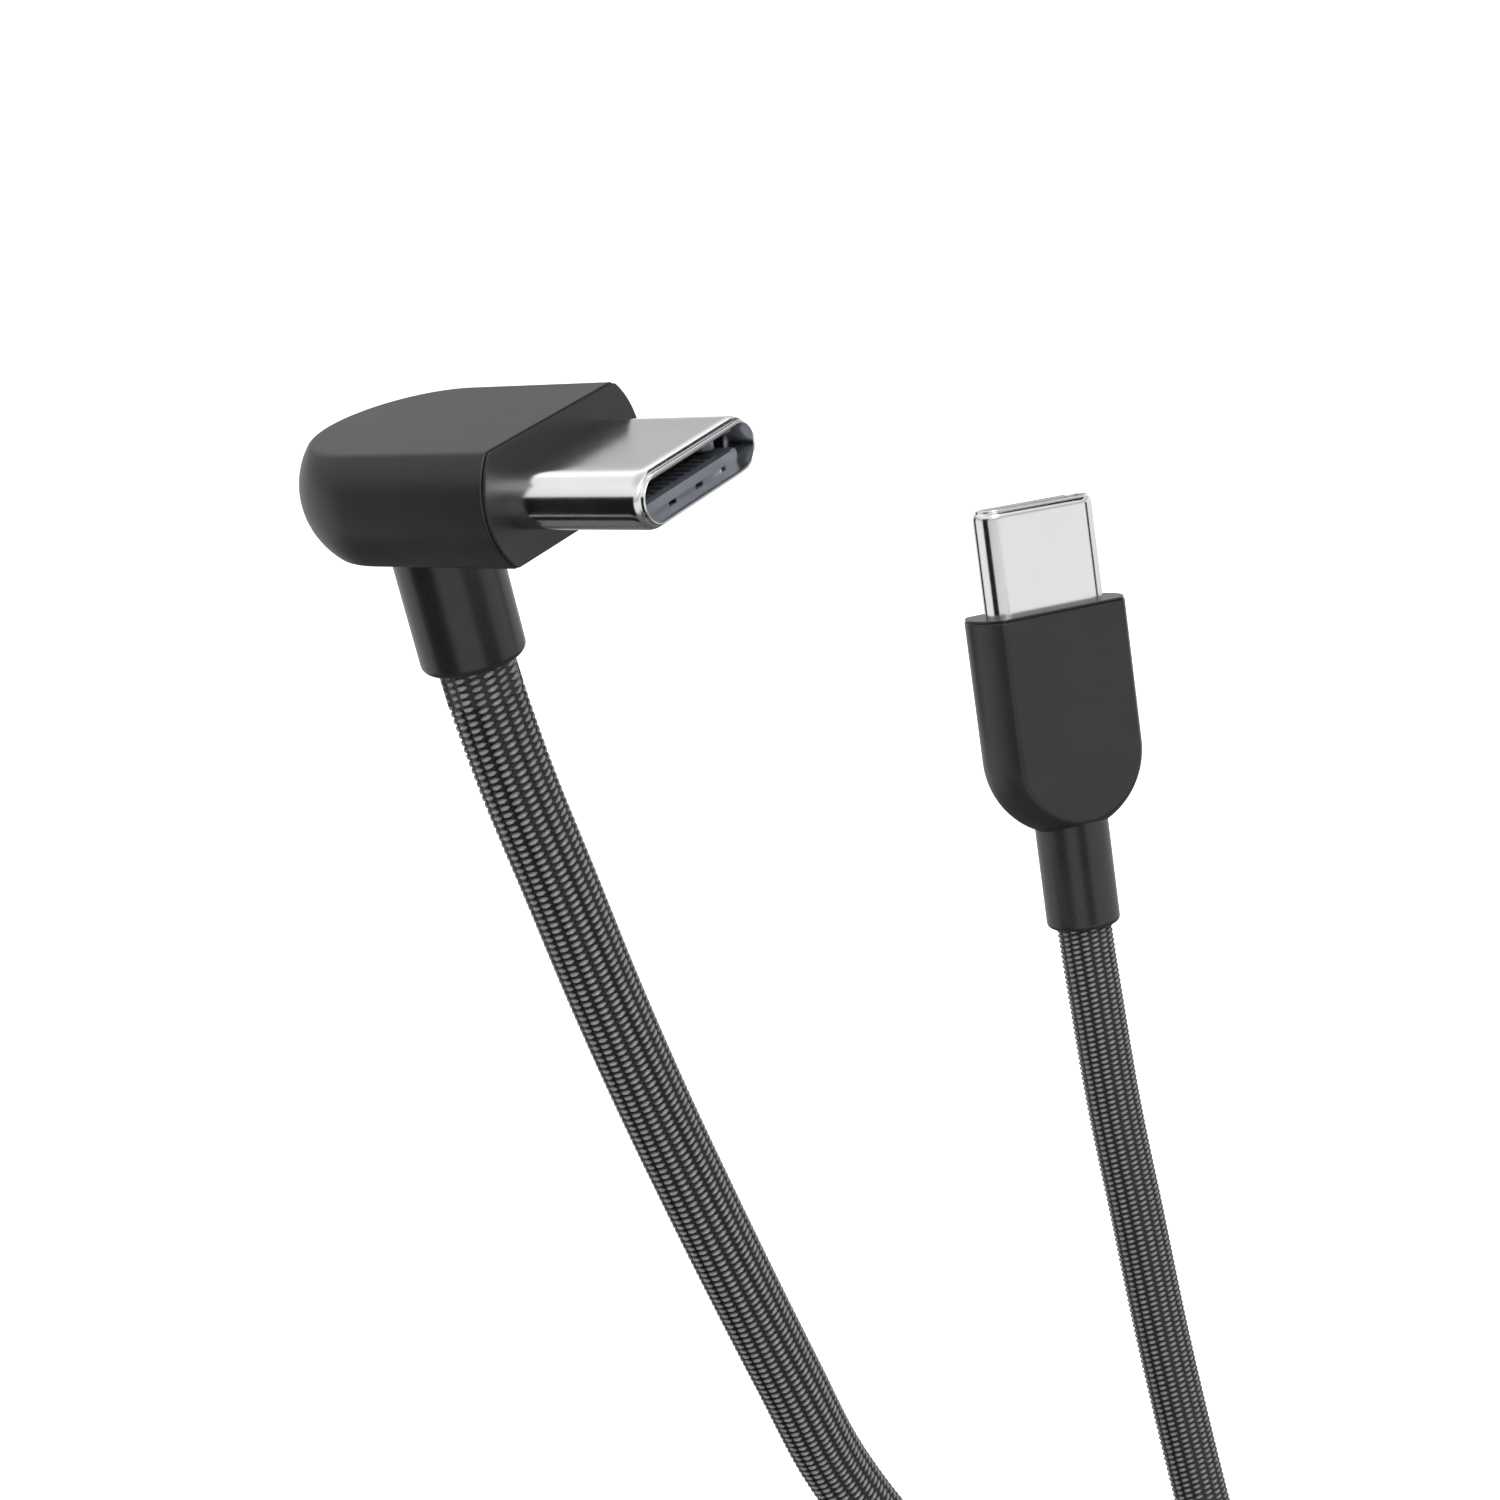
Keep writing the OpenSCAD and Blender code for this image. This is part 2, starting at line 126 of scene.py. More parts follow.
def softbox(name, azimuth, elevation, distance, width, height, power):
    data = bpy.data.lights.new(name, "AREA")
    data.shape, data.size, data.size_y, data.energy = "RECTANGLE", width, height, power
    lamp = bpy.data.objects.new(name, data)
    lamp.location = toward(azimuth, elevation, distance)
    lamp.rotation_mode = "QUATERNION"
    lamp.rotation_quaternion = (LIGHT_TARGET - lamp.location).to_track_quat("-Z", "Y")
    lamp.visible_camera = False
    bpy.context.scene.collection.objects.link(lamp)


def dark_card(name, place, turn, half_width, half_height):
    """A dark upright card beside the set that only reflections show. It faces along +X before its turn."""
    mesh = bpy.data.meshes.new(name)
    w, h = half_width, half_height
    mesh.from_pydata([(0, -w, -h), (0, w, -h), (0, w, h), (0, -w, h)], [], [(0, 1, 2, 3)])
    flag = bpy.data.objects.new(name, mesh)
    flag.location = place
    flag.rotation_euler = (0, 0, math.radians(turn))
    flag.visible_camera = flag.visible_diffuse = flag.visible_shadow = False
    mesh.materials.append(plain_material(name, (FLAG_BLACK, FLAG_BLACK, FLAG_BLACK)))
    bpy.context.scene.collection.objects.link(flag)


def plain_material(name, colour):
    m = bpy.data.materials.new(name)
    m.use_nodes = True
    p = m.node_tree.nodes["Principled BSDF"]
    p.inputs["Base Color"].default_value = (*colour, 1)
    p.inputs["Roughness"].default_value = 1
    p.inputs["Specular IOR Level"].default_value = 0
    return m


def make_floor():
    """A plain white floor under the coil. Reflections don't show it: they show the world and the cards."""
    mesh = bpy.data.meshes.new("floor")
    s, z = FLOOR_HALF, FLOOR_Z * MM
    mesh.from_pydata([(-s, -s, z), (s, -s, z), (s, s, z), (-s, s, z)], [], [(0, 1, 2, 3)])
    floor = bpy.data.objects.new("floor", mesh)
    floor.visible_glossy = False
    m = plain_material("floor", (FLOOR_WHITE, FLOOR_WHITE, FLOOR_WHITE))
    p = m.node_tree.nodes["Principled BSDF"]
    p.inputs["Emission Color"].default_value = (1, 1, 1, 1)
    p.inputs["Emission Strength"].default_value = FLOOR_GLOW
    mesh.materials.append(m)
    bpy.context.scene.collection.objects.link(floor)


def make_world():
    """A soft surrounding light whose tone goes by elevation only."""
    world = bpy.data.worlds.new("studio")
    world.use_nodes = True
    tree = world.node_tree
    way = tree.nodes.new("ShaderNodeTexCoord").outputs["Generated"]
    height = tree.nodes.new("ShaderNodeSeparateXYZ")
    tree.links.new(way, height.inputs[0])
    share = tree.nodes.new("ShaderNodeMath")
    share.operation = "MULTIPLY_ADD"
    share.inputs[1].default_value = share.inputs[2].default_value = 0.5
    tree.links.new(height.outputs[2], share.inputs[0])
    ramp = tree.nodes.new("ShaderNodeValToRGB")
    tree.links.new(share.outputs[0], ramp.inputs[0])
    while len(ramp.color_ramp.elements) < len(SKY_TONES):
        ramp.color_ramp.elements.new(0.5)
    for element, (elevation, tone) in zip(ramp.color_ramp.elements, SKY_TONES):
        element.position = 0.5 + 0.5 * math.sin(math.radians(elevation))
        element.color = (*(tone * tint for tint in SKY_TINT), 1)
    back = tree.nodes["Background"]
    tree.links.new(ramp.outputs[0], back.inputs["Color"])
    back.inputs["Strength"].default_value = 1.0
    bpy.context.scene.world = world


def make_stage():
    make_floor()
    make_world()
    for name, settings in SOFTBOXES.items():
        softbox(name, *settings)
    for name, settings in FLAGS.items():
        dark_card(name, *settings)
    bpy.context.scene.view_settings.view_transform = "Standard"
    bpy.context.scene.view_settings.look = "None"


# ---------- materials ----------

class Shader:
    """A Principled material whose patterns are built from small node helpers."""

    def __init__(self, name, **sockets):
        self.m = bpy.data.materials.new(name)
        self.m.use_nodes = True
        self.t = self.m.node_tree
        self.p = self.t.nodes["Principled BSDF"]
        for key, value in sockets.items():
            self.set(self.p.inputs[key.replace("_", " ")], value)

    def node(self, kind, settings=(), **links):
        n = self.t.nodes.new(kind)
        for key, value in settings:
            setattr(n, key, value)
        for key, value in links.items():
            self.set(n.inputs[int(key[1:]) if key[1:].isdigit() else key.replace("_", " ")], value)
        return n

    def set(self, socket, value):
        if isinstance(value, bpy.types.NodeSocket):
            self.t.links.new(value, socket)
        elif isinstance(value, tuple) and len(value) == 3 and socket.type == "RGBA":
            socket.default_value = (*value, 1)
        else:
            socket.default_value = value

    def place(self):
        return self.node("ShaderNodeTexCoord").outputs["Object"]

    def noise(self, scale, detail=3.0, rough=0.55, stretch=None):
        at = self.place()
        if stretch:
            at = self.node("ShaderNodeMapping", Vector=at, Scale=stretch).outputs[0]
        return self.node("ShaderNodeTexNoise", Vector=at, Scale=scale, Detail=detail,
                         Roughness=rough).outputs[0]

    def math(self, operation, a, b=None, c=None):
        n = self.node("ShaderNodeMath", [("operation", operation)], _0=a)
        if b is not None:
            self.set(n.inputs[1], b)
        if c is not None:
            self.set(n.inputs[2], c)
        return n.outputs[0]

    def span(self, value, low, high, to_low, to_high):
        return self.node("ShaderNodeMapRange", Value=value, From_Min=low, From_Max=high,
                         To_Min=to_low, To_Max=to_high).outputs[0]

    def blend(self, share, a, b):
        n = self.node("ShaderNodeMix", [("data_type", "RGBA")], _0=share)
        self.set(n.inputs[6], a)
        self.set(n.inputs[7], b)
        return n.outputs[2]

    def bump(self, height, distance):
        return self.node("ShaderNodeBump", Height=height, Strength=1.0, Distance=distance).outputs[0]

    def out(self, **links):
        for key, value in links.items():
            self.set(self.p.inputs[key.replace("_", " ")], value)
        return self.m


PLASTIC_GRAIN, METAL_GRAIN = 0.00048 * MM, 0.0006 * MM


def moulded(name, colour, rough, specular=0.5):
    """Fine-grained moulded plastic with a faint cloud of tone and small changes of gloss."""
    s = Shader(name, Specular_IOR_Level=specular)
    fine, cloud = s.noise(14000, 3, 0.55), s.noise(260, 2)
    low, high = tuple(c * 0.86 for c in colour), tuple(c * 1.16 for c in colour)
    return s.out(Base_Color=s.blend(s.span(cloud, 0.3, 0.7, 0, 1), low, high),
                 Roughness=s.span(fine, 0.25, 0.75, rough - 0.03, rough + 0.04),
                 Normal=s.bump(fine, PLASTIC_GRAIN))


def metal(name, colour, rough, stretch=(1, 1, 1)):
    """Drawn or stamped metal with fine lines along the stretch, and small changes of gloss."""
    s = Shader(name, Metallic=1.0)
    lines, cloud = s.noise(5000, 3, 0.6, stretch), s.noise(420, 3)
    low, high = tuple(c * 0.98 for c in colour), tuple(min(1, c * 1.01) for c in colour)
    return s.out(Base_Color=s.blend(s.span(cloud, 0.3, 0.7, 0, 1), low, high),
                 Roughness=s.span(lines, 0.25, 0.75, rough - 0.02, rough + 0.03),
                 Normal=s.bump(lines, METAL_GRAIN))


def circuit(name):
    """Solder mask with paler copper tracks under it."""
    s = Shader(name, Specular_IOR_Level=0.55)
    tracks = s.node("ShaderNodeTexBrick", Vector=s.place(), Scale=900, Mortar_Size=0.03).outputs["Fac"]
    fine = s.noise(7000, 3)
    return s.out(Base_Color=s.blend(tracks, (0.012, 0.10, 0.045), (0.05, 0.24, 0.10)),
                 Roughness=s.span(fine, 0.3, 0.7, 0.28, 0.42), Normal=s.bump(tracks, 0.02 * MM))


# The braid: columns round the cord, row pitch in mm, and how much each float leans across its column.
COLUMNS, ROW, LEAN = 16, 0.34, -0.3
SIDES_PER_COLUMN, RINGS_PER_ROW, PLAIN_ROWS = 4, 4, 8
# Where the floats are modelled, in mm from each end of the line: from inside the sleeve to past the view.
FLOATS_START, ANGLED_FLOATS, STRAIGHT_FLOATS = 5.5, 62.0, 47.0
GROOVE, FLOAT_HEIGHT, PLAIN_DEPTH = -0.13, 0.15, -0.03
FLOAT_HALF_WIDTH, FLOAT_HALF_LENGTH = 0.5, 0.46


def braid():
    """Nylon braid: oval floats in columns, every other column half a row on, and filaments in each float."""
    s = Shader("braid", Specular_IOR_Level=0.62)
    uv = s.node("ShaderNodeUVMap", [("uv_map", "braid")]).outputs[0]
    at = s.node("ShaderNodeSeparateXYZ", Vector=uv)
    u, v = at.outputs[0], at.outputs[1]
    column = s.math("FLOOR", u)
    across = s.math("SUBTRACT", s.math("SUBTRACT", u, column), 0.5)
    along = s.math("ADD", s.math("MULTIPLY_ADD", column, 0.5, v), s.math("MULTIPLY", across, LEAN))
    row = s.math("SUBTRACT", s.math("FRACT", along), 0.5)
    a, b = s.math("DIVIDE", across, 0.45), s.math("DIVIDE", row, 0.40)
    off = s.math("ADD", s.math("MULTIPLY", a, a), s.math("MULTIPLY", b, b))
    dome = s.math("SQRT", s.math("MAXIMUM", s.math("SUBTRACT", 1.0, off), 0.0))
    filament = s.math("MULTIPLY_ADD", s.math("SINE", s.math("MULTIPLY", s.math(
        "MULTIPLY_ADD", across, 0.9, along), 31.4)), 0.5, 0.5)
    lint = s.noise(6500, 3)
    height = s.math("MULTIPLY_ADD", s.math("MULTIPLY", filament, dome), 0.16, dome)
    # Painted light: colour and metal follow each float's dome. The gaps are dark for painted shade, and the
    # tops are pale and metallic for a painted sheen. Lint adds random tone.
    painted_sheen_shade_and_lint = s.math("MULTIPLY", s.math("POWER", dome, 2.2), s.span(lint, 0.3, 0.7, 0.75, 1.15))
    return s.out(Base_Color=s.blend(painted_sheen_shade_and_lint, (0.003, 0.003, 0.0033), (0.42, 0.42, 0.425)),
                 Metallic=s.math("MULTIPLY", painted_sheen_shade_and_lint, 0.6), Roughness=s.span(filament, 0, 1, 0.33, 0.45),
                 Normal=s.bump(height, 0.14 * MM))


def strap_cloth():
    """Hook-and-loop strap: a dense nap of short loops on a woven ground."""
    s = Shader("strap", Specular_IOR_Level=0.25, Roughness=0.9)
    s.p.inputs["Sheen Weight"].default_value = 0.35
    loops = s.node("ShaderNodeTexVoronoi", Vector=s.place(), Scale=3200).outputs["Distance"]
    fuzz = s.noise(9000, 4, 0.7)
    height = s.math("MULTIPLY_ADD", fuzz, 0.5, s.math("SUBTRACT", 1.0, loops))
    # Painted shade: the colour follows the nap's height and is darker down between the loops.
    return s.out(Base_Color=s.blend(s.span(height, 0.5, 1.3, 0, 1), (0.006, 0.006, 0.007),
                                    (0.04, 0.04, 0.043)),
                 Normal=s.bump(height, 0.12 * MM))


def wire_skin():
    """Wire insulation in a few plain colours, one for each lead by where it lies."""
    s = Shader("wire_insulation", Specular_IOR_Level=0.5)
    cell = s.node("ShaderNodeTexVoronoi", Vector=s.place(), Scale=900).outputs["Color"]
    hue = s.node("ShaderNodeHueSaturation", Hue=0.5, Saturation=0.55, Value=0.6, Color=cell).outputs[0]
    fine = s.noise(6000, 2)
    return s.out(Base_Color=s.blend(0.35, (0.35, 0.05, 0.04), hue),
                 Roughness=s.span(fine, 0.3, 0.7, 0.35, 0.5), Normal=s.bump(fine, 0.002 * MM))


def make_materials():
    return {
        "steel": metal("plug_steel", (0.91, 0.912, 0.915), 0.16, (0.25, 1, 1)),
        "spring": metal("spring_steel", (0.30, 0.31, 0.33), 0.38),
        "gold": metal("contact_gold", (0.62, 0.45, 0.20), 0.30),
        "can": metal("shield_steel", (0.55, 0.55, 0.55), 0.35),
        "carrier": moulded("insulator_plastic", (0.15, 0.165, 0.19), 0.45),
        "inner": moulded("inner_plastic", (0.70, 0.68, 0.60), 0.45),
        "body": moulded("overmould_plastic", (0.0125, 0.0125, 0.0135), 0.36),
        "plate": moulded("front_plate_plastic", (0.0115, 0.012, 0.0135), 0.34),
        "sleeve": moulded("sleeve_plastic", (0.010, 0.010, 0.0105), 0.27, specular=0.62),
        "chip": moulded("chip_black", (0.02, 0.02, 0.022), 0.5),
        "ceramic": moulded("ceramic", (0.42, 0.30, 0.18), 0.4),
        "board": circuit("circuit_board"),
        "wire": wire_skin(),
        "braid": braid(),
        "strap": strap_cloth(),
    }


# ---------- mesh helpers ----------

def finished(name, points, faces, material, matrix, body, nodes, filled_at=()):
    """A smooth mesh piece from points in mm, placed by matrix, that stands for CAD nodes. Its open edges
    that lie at each X of filled_at are filled with one flat face, holes and all."""
    mesh = bpy.data.meshes.new(name)
    mesh.from_pydata(points, [], faces)
    bm = bmesh.new()
    bm.from_mesh(mesh)
    bmesh.ops.remove_doubles(bm, verts=bm.verts, dist=1e-4)
    bmesh.ops.dissolve_degenerate(bm, edges=bm.edges, dist=1e-5)
    for x in filled_at:
        open_edges = [e for e in bm.edges
                      if e.is_boundary and all(abs(v.co.x - x) < 1e-4 for v in e.verts)]
        bmesh.ops.triangle_fill(bm, use_beauty=True, use_dissolve=False, edges=open_edges)
    bmesh.ops.transform(bm, matrix=Matrix.Scale(MM, 4) @ matrix, verts=bm.verts)
    bmesh.ops.recalc_face_normals(bm, faces=bm.faces)
    bm.to_mesh(mesh)
    bm.free()
    mesh.shade_smooth()
    mesh.set_sharp_from_angle(angle=math.radians(40))
    mesh.materials.append(material)
    piece = bpy.data.objects.new(name, mesh)
    bpy.context.scene.collection.objects.link(piece)
    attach(piece, body)
    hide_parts(*nodes)
    return piece


def lofted(loops, closed_loops=True, ring=False, caps=(False, False)):
    """Points and faces between loops of equal length. ring joins the last loop to the first."""
    n, count = len(loops[0]), len(loops)
    points = [p for loop in loops for p in loop]
    faces = []
    for i in range(count if ring else count - 1):
        j = (i + 1) % count
        for k in range(n if closed_loops else n - 1):
            m = (k + 1) % n
            faces.append((i * n + k, i * n + m, j * n + m, j * n + k))
    if caps[0]:
        faces.append(tuple(range(n)))
    if caps[1]:
        faces.append(tuple((count - 1) * n + k for k in reversed(range(n))))
    return points, faces


def arc(centre, radius, start, end, steps):
    """Points on an arc with their outward normals."""
    out = []
    for i in range(steps + 1):
        a = math.radians(start + (end - start) * i / steps)
        normal = (math.cos(a), math.sin(a))
        out.append(((centre[0] + radius * normal[0], centre[1] + radius * normal[1]), normal))
    return out


# ---------- plug pieces, in the plug's own frame ----------

FILLET = 0.42
# The seam is drawn this far behind the front face. The CAD's front plate is thicker, 0.3.
SEAM_X = 0.12


def half_profile():
    """Half of a head's section, from its middle on top to its middle below: points and normals."""
    reach = SIDE_R - FILLET
    centre_z = HEAD_T / 2 - FILLET
    centre_y = SIDE_Y + math.sqrt(reach ** 2 - centre_z ** 2)
    edge = math.degrees(math.atan2(centre_z, centre_y - SIDE_Y))
    top = [((y, HEAD_T / 2), (0, 1)) for y in (0, 1.4, 2.8, 3.6, centre_y - 0.04)]
    top += arc((centre_y, centre_z), FILLET, 90, edge, 7)
    side = arc((SIDE_Y, 0), SIDE_R, edge, 0, 12)[1:]
    half = top + side
    return half + [((p[0], -p[1]), (n[0], -n[1])) for p, n in reversed(half[:-1])]


def shrunk(profile, inset):
    """The points of a profile drawn in by inset along their normals."""
    return [(max(p[0] - inset * n[0], 0), p[1] - inset * n[1]) for p, n in profile]


TURN_STEPS = 48


def housing(side, turn_x, mats):
    """Overmould: half its section run back along one side, turned round the far end and run forward again."""
    profile = half_profile()
    seam = [(-SEAM_X - 0.01, 0.16), (-SEAM_X - 0.05, 0.15), (-SEAM_X - 0.06, 0.06), (-SEAM_X - 0.08, 0.02),
            (-SEAM_X - 0.12, 0.0), (-SEAM_X - 0.2, 0.0)]
    runs = seam + [(x, 0.0) for x in np.linspace(-SEAM_X - 0.9, turn_x, 7)]
    strips = []
    for way in (-1, 1):
        rows = [[(x, way * p[0], p[1]) for p in shrunk(profile, d)] for x, d in runs]
        strips.append(rows if way < 0 else rows[::-1])
    turn = []
    for i in range(1, TURN_STEPS):
        a = math.radians(-90 - 180 * i / TURN_STEPS)
        turn.append([(turn_x + p[0] * math.cos(a), p[0] * math.sin(a), p[1]) for p in shrunk(profile, 0)])
    loops = strips[0] + turn + strips[1]
    points, faces = lofted(loops, closed_loops=False)
    n = len(profile)
    last = (len(loops) - 1) * n
    faces.append(tuple(range(n)) + tuple(last + k for k in reversed(range(1, n - 1))))
    return finished(f"{side}_overmould", points, faces, mats["body"], PLUGS[side], "cable",
                    [f"{side}_housing"])


def stadium(inset, arcs=32, flats=10):
    """Outline of the plug shell, drawn in by inset, starting at its +Y end's foot."""
    r, y = SHELL_T / 2 - inset, (SHELL_W - SHELL_T) / 2
    right = [p for p, _ in arc((y, 0), r, -90, 90, arcs)]
    left = [p for p, _ in arc((-y, 0), r, 90, 270, arcs)]
    top = [(y - 2 * y * i / flats, r) for i in range(1, flats)]
    low = [(-y + 2 * y * i / flats, -r) for i in range(1, flats)]
    return right + top + left + low


def at_x(x, outline):
    return [(x, p[0], p[1]) for p in outline]


def head_outline(inset):
    """The head's whole section, drawn in by inset."""
    half = shrunk(half_profile(), inset)
    return half + [(-p[0], p[1]) for p in reversed(half[1:-1])]


def front_plate(side, mats):
    """Thin moulded plate between the overmould and the shell, with rounded edges and a hole for the shell.
    Rows are X and how far the outline is drawn in."""
    rim = [(-SEAM_X, 0.4), (-SEAM_X, 0.12), (-SEAM_X + 0.01, 0.07), (-0.045, 0.05), (-0.02, 0.055),
           (-0.006, 0.075), (0.0, 0.11), (0.0, 0.15)]
    hole = [(0.0, -0.1), (0.0, -0.04), (0.0, 0.0), (-0.05, 0.01), (-SEAM_X, 0.01), (-SEAM_X, -0.12)]
    points, faces = lofted([at_x(x, head_outline(d)) for x, d in rim])
    more, their_faces = lofted([at_x(x, stadium(d)) for x, d in hole])
    faces += [tuple(len(points) + k for k in face) for face in their_faces]
    return finished(f"{side}_face_plate", points + more, faces, mats["plate"], PLUGS[side], "cable",
                    [f"{side}_front_plate"], filled_at=(0.0, -SEAM_X))


LIP_START, LIP_LENGTH, LIP_DEPTH = 6.04, 0.43, 0.19


def shell(side, mats):
    """Drawn steel shell: rounded outer edge, a fine step, then a bright rim rolled into the mouth."""
    wall = [(x, 0.0) for x in (-0.28, 0.02, 0.6, 2.0, 4.0, 5.5, 6.0, LIP_START)]
    lip = [(LIP_START + LIP_LENGTH * math.sin(a), LIP_DEPTH * (1 - math.cos(a)))
           for a in np.linspace(0, math.pi / 2, 12)[1:]]
    rim = [(SHELL_REACH - back, depth) for back, depth in
           ((0.175, 0.196), (0.16, 0.199), (0.09, 0.201), (0.05, 0.206), (0.02, 0.217), (0.004, 0.234),
            (0, 0.25), (0.006, 0.272), (0.022, 0.288), (0.05, 0.297), (0.11, SHELL_WALL))]
    inside = [(x, SHELL_WALL) for x in (5.6, 4.2, 2.4, 0.6, -0.28)]
    loops = [at_x(x, stadium(d)) for x, d in wall + lip + rim + inside]
    points, faces = lofted(loops, ring=True)
    return finished(f"{side}_plug_shell", points, faces, mats["steel"], PLUGS[side], "cable",
                    [f"{side}_shell"])


def sleeve(side, mats):
    """Round strain relief sleeve with a rounded free end and a bore that the braid goes into."""
    if side == "angled":
        start, end = -HEAD_T / 2 + 0.4, ANGLED_SLEEVE_END
        place = Matrix.Translation((ANGLED_TURN_X, 0, 0))
    else:
        start, end = -13.2, STRAIGHT_SLEEVE_END
        place = PLUGS["straight"] @ Matrix.Rotation(math.radians(90), 4, "Y")
    bore, round_r, inner_r = CORD_R + 0.03, 0.36, 0.1
    profile = [(SLEEVE_R, z) for z in np.linspace(start, end + round_r + 0.12, 6)]
    profile += [(SLEEVE_R - round_r + p[0], end + round_r + p[1])
                for p in [(round_r * math.cos(a), -round_r * math.sin(a))
                          for a in np.linspace(0, math.pi / 2, 8)]]
    profile += [(bore + inner_r - inner_r * math.sin(a), end + inner_r - inner_r * math.cos(a))
                for a in np.linspace(0, math.pi / 2, 5)]
    profile += [(bore, end + 0.6), (bore, end + 2.5)]
    profile += [(bore, start)]
    steps = 96
    loops = [[(r * math.cos(a), r * math.sin(a), z) for a in np.arange(steps) * 2 * math.pi / steps]
             for r, z in profile]
    points, faces = lofted(loops, ring=True)
    return finished(f"{side}_sleeve", points, faces, mats["sleeve"], place, "cable",
                    [f"{side}_strain_relief"])


# ---------- cord ----------

def smooth_line(points):
    """A centripetal Catmull-Rom curve through the points, with 40 steps between two of them."""
    p = np.array(points, float)
    p = np.vstack([2 * p[0] - p[1], p, 2 * p[-1] - p[-2]])
    out = []
    for i in range(1, len(p) - 2):
        a, b, c, d = p[i - 1], p[i], p[i + 1], p[i + 2]
        t0 = 0.0
        t1 = t0 + np.linalg.norm(b - a) ** 0.5
        t2 = t1 + np.linalg.norm(c - b) ** 0.5
        t3 = t2 + np.linalg.norm(d - c) ** 0.5
        for t in np.linspace(t1, t2, 40, endpoint=False):
            ab = (t1 - t) / (t1 - t0) * a + (t - t0) / (t1 - t0) * b
            bc = (t2 - t) / (t2 - t1) * b + (t - t1) / (t2 - t1) * c
            cd = (t3 - t) / (t3 - t2) * c + (t - t2) / (t3 - t2) * d
            abc = (t2 - t) / (t2 - t0) * ab + (t - t0) / (t2 - t0) * bc
            bcd = (t3 - t) / (t3 - t1) * bc + (t - t1) / (t3 - t1) * cd
            out.append((t2 - t) / (t2 - t1) * abc + (t - t1) / (t2 - t1) * bcd)
    out.append(p[-2])
    return np.array(out)


def coil_line():
    """The coil's turns: down the inner column, across below, and up the outer one."""
    rows = []
    down, across, up = 3 * 360 + 135 - COIL_START, 120.0, 3 * 360 + 105 + COIL_END
    for turn in np.arange(COIL_START + 6, COIL_START + down + across + up - 3, 6.0):
        done = turn - COIL_START
        if done < down:
            r, z = INNER_R, COIL_TOP_Z - COIL_RISE * done / down
        elif done < down + across:
            t = (done - down) / across
            r, z = INNER_R + (OUTER_R - INNER_R) * (3 * t * t - 2 * t ** 3), COIL_TOP_Z - COIL_RISE
        else:
            t = (done - down - across) / up
            r, z = OUTER_R, COIL_TOP_Z - COIL_RISE * (1 - t)
        off = abs((turn - TIE_ANGLE + 180) % 360 - 180)
        drawn = 1 / (1 + (off / 19.0) ** 6)
        z += TIE_T * drawn * (COIL_TOP_Z - z) / COIL_RISE
        a = math.radians(turn)
        rows.append((COIL_AT[0] + r * math.cos(a), COIL_AT[1] + r * math.sin(a), z))
    return rows


def cord_line():
    """Ring centres of the whole cord in mm, closer together where the braid is modelled."""
    plug = PLUGS["straight"]
    ends = [tuple(plug @ Vector((x, 0, 0))) for x in (STRAIGHT_SLEEVE_END, -14.0)]
    line = smooth_line(ANGLED_ROUTE + coil_line() + STRAIGHT_ROUTE + ends)
    along = np.concatenate([[0], np.cumsum(np.linalg.norm(np.diff(line, axis=0), axis=1))])
    total = along[-1]
    fine, coarse = ROW / RINGS_PER_ROW, ROW * PLAIN_ROWS
    dense_start, dense_left = FLOATS_START, ANGLED_FLOATS
    dense_right, dense_end = total - STRAIGHT_FLOATS, total - FLOATS_START
    at = [0.0]
    while at[-1] < total:
        s = at[-1]
        dense = dense_start <= s < dense_left or dense_right <= s < dense_end
        at.append(s + (fine if dense else coarse))
    at = np.round(np.array(at) / fine) * fine
    at = np.unique(at[at <= total])
    spots = np.stack([np.interp(at, along, line[:, k]) for k in range(3)], axis=1)
    dense = ((at >= dense_start) & (at <= dense_left)) | ((at >= dense_right) & (at <= dense_end))
    return at, spots, dense


def carried_frames(centres, at):
    """Two unit vectors across the line at every ring, carried along it without twist."""
    ways = np.gradient(centres, at, axis=0)
    ways /= np.linalg.norm(ways, axis=1)[:, None]
    normals = np.zeros_like(centres)
    n = np.cross(ways[0], (0.0, 1.0, 0.0))
    for i, w in enumerate(ways):
        n = n - w * (n @ w)
        n /= np.linalg.norm(n)
        normals[i] = n
    return normals, np.cross(ways, normals)


def braid_relief(u, v, dense):
    """How far the surface stands off the cord's radius, by column u and row v: a dome for each float."""
    column = np.floor(u)
    across = u - column - 0.5
    row = (v[:, None] + 0.5 * column[None] + LEAN * across[None]) % 1 - 0.5
    dome = np.sqrt(np.maximum(1 - (across[None] / FLOAT_HALF_WIDTH) ** 2 - (row / FLOAT_HALF_LENGTH) ** 2, 0))
    return np.where(dense[:, None], GROOVE + FLOAT_HEIGHT * dome, PLAIN_DEPTH)


